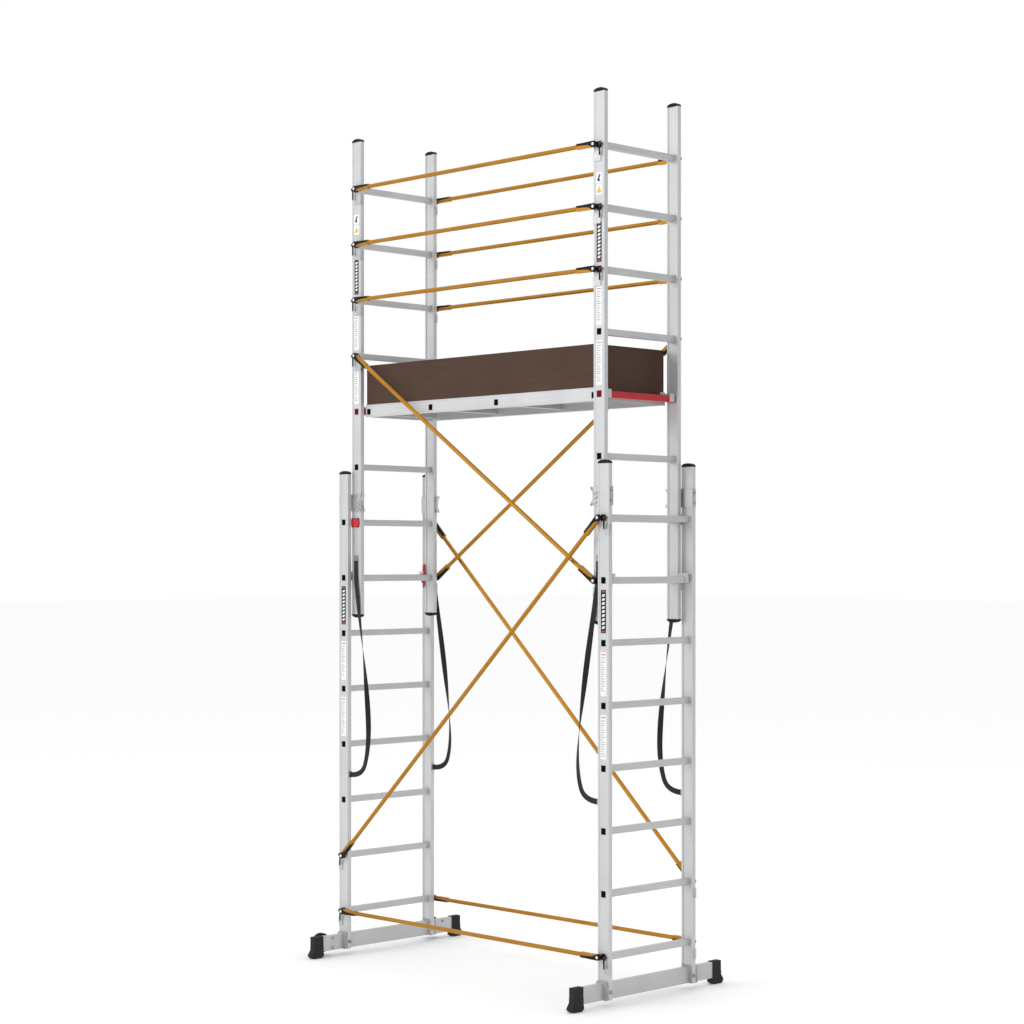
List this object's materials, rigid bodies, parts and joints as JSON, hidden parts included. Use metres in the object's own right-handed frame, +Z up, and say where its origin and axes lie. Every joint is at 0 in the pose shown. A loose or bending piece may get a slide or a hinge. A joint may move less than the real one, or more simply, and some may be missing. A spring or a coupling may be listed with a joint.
{
  "type": "mobile_tower_scaffold",
  "caption": "Aluminium mobile tower scaffold: two two-section ladders on stabiliser bars, ochre braces and guard rails, a platform with toe boards and hatch, and two tilt wheels",
  "frame": {"origin": "middle of the tower's footprint, on the floor", "axes": "+X from the left ladder to the right ladder, +Y away from the viewer along the rungs, +Z up"},
  "size_m": [1.9157, 1.024, 4.114],
  "materials": {
    "aluminium": "extruded, satin",
    "orange_tube": "anodised ochre, satin",
    "red_paint": "powder coat",
    "red_plastic": "moulded, semi-gloss",
    "black_plastic": "moulded, fine texture",
    "dark_grey_plastic": "moulded",
    "light_grey_plastic": "moulded",
    "zinc_steel": "zinc plated",
    "polished_rivets": "polished",
    "foot_rubber": "matt",
    "tyre": "matt",
    "board_brown": "film-faced plywood, dark brown",
    "webbing": "woven webbing"
  },
  "bodies": {
    "lower_section": {"lower_stile_left_near": "aluminium", "lower_stile_left_far": "aluminium", "lower_stile_right_near": "aluminium", "lower_stile_right_far": "aluminium", "lower_rungs_left": "aluminium", "lower_rungs_right": "aluminium", "lower_rung_plugs": "black_plastic", "lower_stile_caps": "black_plastic", "stabiliser_bar_left": "aluminium", "stabiliser_bar_right": "aluminium", "stabiliser_saddles": "dark_grey_plastic", "foot_caps": "foot_rubber", "wheel_brackets": "aluminium", "guide_brackets": "aluminium", "lower_bolts": "zinc_steel", "lower_diagonals": "orange_tube", "lower_horizontals": "orange_tube", "lower_latch_bodies": "black_plastic", "lower_brace_claws": "black_plastic", "lower_brace_pins": "polished_rivets", "lower_brace_brackets": "zinc_steel", "lower_strap_anchors": "zinc_steel"},
    "upper_section": {"upper_stile_left_near": "aluminium", "upper_stile_left_far": "aluminium", "upper_stile_right_near": "aluminium", "upper_stile_right_far": "aluminium", "upper_rungs_left": "aluminium", "upper_rungs_right": "aluminium", "platform_rails": "aluminium", "platform_cross_tubes": "aluminium", "platform_hooks": "aluminium", "rung_hooks": "aluminium", "upper_diagonals": "orange_tube", "guard_rails_near": "orange_tube", "guard_rails_far": "orange_tube", "red_rungs": "red_paint", "red_rung_plugs": "red_plastic", "upper_plugs": "black_plastic", "upper_stile_caps": "black_plastic", "upper_latch_bodies": "black_plastic", "upper_brace_claws": "black_plastic", "upper_brace_brackets": "zinc_steel", "hatch_hinges": "zinc_steel", "upper_strap_anchors": "zinc_steel", "upper_brace_pins": "polished_rivets", "deck_panel": "board_brown", "toe_boards": "board_brown", "strap_left_near": "webbing", "strap_left_far": "webbing", "strap_right_near": "webbing", "strap_right_far": "webbing"},
    "wheel_near": {"wheel_hub_near": "light_grey_plastic", "wheel_tyre_near": "tyre"},
    "wheel_far": {"wheel_hub_far": "light_grey_plastic", "wheel_tyre_far": "tyre"},
    "hatch": {"deck_hatch": "board_brown"},
    "lever_left": {"lock_lever_left": "red_plastic"},
    "lever_right": {"lock_lever_right": "red_plastic"},
    "knob_left": {"lock_knob_left": "red_plastic"},
    "knob_right": {"lock_knob_right": "red_plastic"}
  },
  "joints": [
    {"name": "height_extension", "type": "slide", "parent": "lower_section", "child": "upper_section", "axis": [0, 0, 1], "range_m": [-0.56, 0], "deforming": ["strap_left_near", "strap_left_far", "strap_right_near", "strap_right_far"]},
    {"name": "wheel_near_spin", "type": "hinge", "parent": "lower_section", "child": "wheel_near", "pos_m": [-0.954, -0.4, 0.062], "axis": [1, 0, 0], "continuous": true},
    {"name": "wheel_far_spin", "type": "hinge", "parent": "lower_section", "child": "wheel_far", "pos_m": [-0.954, 0.345, 0.062], "axis": [1, 0, 0], "continuous": true},
    {"name": "hatch_hinge", "type": "hinge", "parent": "upper_section", "child": "hatch", "pos_m": [0.46, 0.192, 2.7618], "axis": [-1, 0, 0], "range_deg": [0, 85]},
    {"name": "lever_left_pivot", "type": "hinge", "parent": "upper_section", "child": "lever_left", "pos_m": [-0.8832, 0.231, 1.924], "axis": [0, -1, 0], "range_deg": [0, 12]},
    {"name": "lever_right_pivot", "type": "hinge", "parent": "upper_section", "child": "lever_right", "pos_m": [0.8832, -0.231, 1.924], "axis": [0, 1, 0], "range_deg": [0, 12]},
    {"name": "knob_left_turn", "type": "hinge", "parent": "upper_section", "child": "knob_left", "pos_m": [-0.8437, -0.262, 2.177], "axis": [0, 1, 0], "range_deg": [0, 90]},
    {"name": "knob_right_turn", "type": "hinge", "parent": "upper_section", "child": "knob_right", "pos_m": [0.8437, 0.262, 2.177], "axis": [0, 1, 0], "range_deg": [0, 90]}
  ]
}
